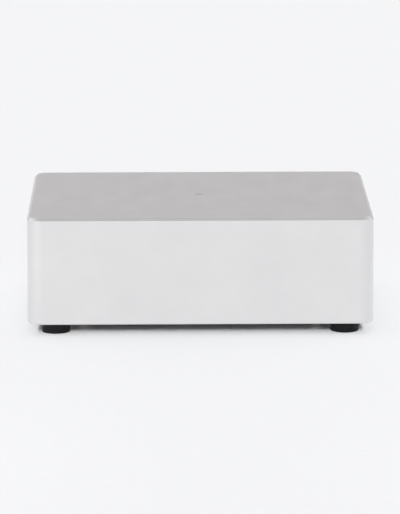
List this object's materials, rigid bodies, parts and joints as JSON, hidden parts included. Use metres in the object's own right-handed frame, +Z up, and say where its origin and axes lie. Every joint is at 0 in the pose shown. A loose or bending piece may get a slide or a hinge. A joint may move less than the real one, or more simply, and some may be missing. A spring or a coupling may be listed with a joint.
{
  "type": "network music streamer",
  "caption": "Low milled aluminium box on rubber feet that streams music from a home network, with a board, a heat block, rear sockets, a shuttered optical output and a power button.",
  "frame": {"origin": "on the floor under the middle of the case, level with the underside of the feet", "axes": "+Z up, +X to the right seen from the front, the bare front faces -Y and the sockets face +Y"},
  "size_m": [0.115, 0.096, 0.0398],
  "materials": {
    "bead_blasted_aluminium": "bead-blasted, clear anodised",
    "black_rubber": "matt moulded",
    "stainless_steel": "turned, satin",
    "frosted_acrylic": "frosted, satin",
    "led_package": "clear dome",
    "insulating_film": "matt film",
    "brass": "machined",
    "circuit_board": "solder mask",
    "chip_epoxy": "moulded epoxy",
    "thermal_silicone": "soft pad",
    "machined_aluminium": "milled",
    "tin_can": "drawn can",
    "capacitor_can": "drawn can",
    "ferrite": "pressed powder",
    "nickel_plate": "bright stamped sheet",
    "black_nylon": "moulded",
    "gold_plate": "plated",
    "light_pipe": "clear tinted",
    "red_lens": "clear tinted",
    "white_nylon": "moulded"
  },
  "bodies": {
    "case": {"housing": "bead_blasted_aluminium", "rear_panel": "bead_blasted_aluminium", "base_plate": "bead_blasted_aluminium", "foot_front_left": "black_rubber", "foot_front_right": "black_rubber", "foot_rear_left": "black_rubber", "foot_rear_right": "black_rubber", "rear_panel_screws": "stainless_steel", "foot_screws": "stainless_steel", "board_screws": "stainless_steel", "heat_block_screws": "stainless_steel", "optical_shutter_pin": "stainless_steel", "optical_shutter_spring": "stainless_steel", "status_light_guide": "frosted_acrylic", "status_led": "led_package", "insulating_sheet": "insulating_film", "board_standoffs": "brass", "main_board": "circuit_board", "processor": "chip_epoxy", "memory_chips": "chip_epoxy", "storage_chip": "chip_epoxy", "network_controller": "chip_epoxy", "usb_controller": "chip_epoxy", "power_regulators": "chip_epoxy", "network_transformer": "chip_epoxy", "thermal_pad": "thermal_silicone", "heat_block": "machined_aluminium", "clock_oscillators": "tin_can", "filter_capacitors": "capacitor_can", "filter_inductors": "ferrite", "network_jack_shell": "nickel_plate", "usb_left_shell": "nickel_plate", "usb_right_shell": "nickel_plate", "power_jack_pin": "nickel_plate", "network_jack_insert": "black_nylon", "usb_left_insert": "black_nylon", "usb_right_insert": "black_nylon", "power_jack_body": "black_nylon", "optical_body": "black_nylon", "power_switch_body": "black_nylon", "reset_switch_body": "black_nylon", "network_jack_contacts": "gold_plate", "usb_left_contacts": "gold_plate", "usb_right_contacts": "gold_plate", "network_jack_lights": "light_pipe", "optical_emitter": "red_lens"},
    "button": {"power_button": "bead_blasted_aluminium", "power_switch_plunger": "white_nylon"},
    "reset": {"reset_plunger": "white_nylon"},
    "shutter": {"optical_shutter": "black_nylon"}
  },
  "joints": [
    {"name": "power_press", "type": "slide", "parent": "case", "child": "button", "axis": [0, -1, 0], "range_m": [0, 0.0011], "stiffness_N_per_m": 400, "springref_m": -0.001},
    {"name": "reset_press", "type": "slide", "parent": "case", "child": "reset", "axis": [0, 0, 1], "range_m": [0, 0.0004], "stiffness_N_per_m": 400, "springref_m": -0.0005},
    {"name": "shutter_swing", "type": "hinge", "parent": "case", "child": "shutter", "pos_m": [0.0371, 0.04535, 0.023], "axis": [-1, 0, 0], "range_deg": [0, 88], "stiffness_Nm_per_rad": 0.0002, "springref_deg": -20.05}
  ]
}
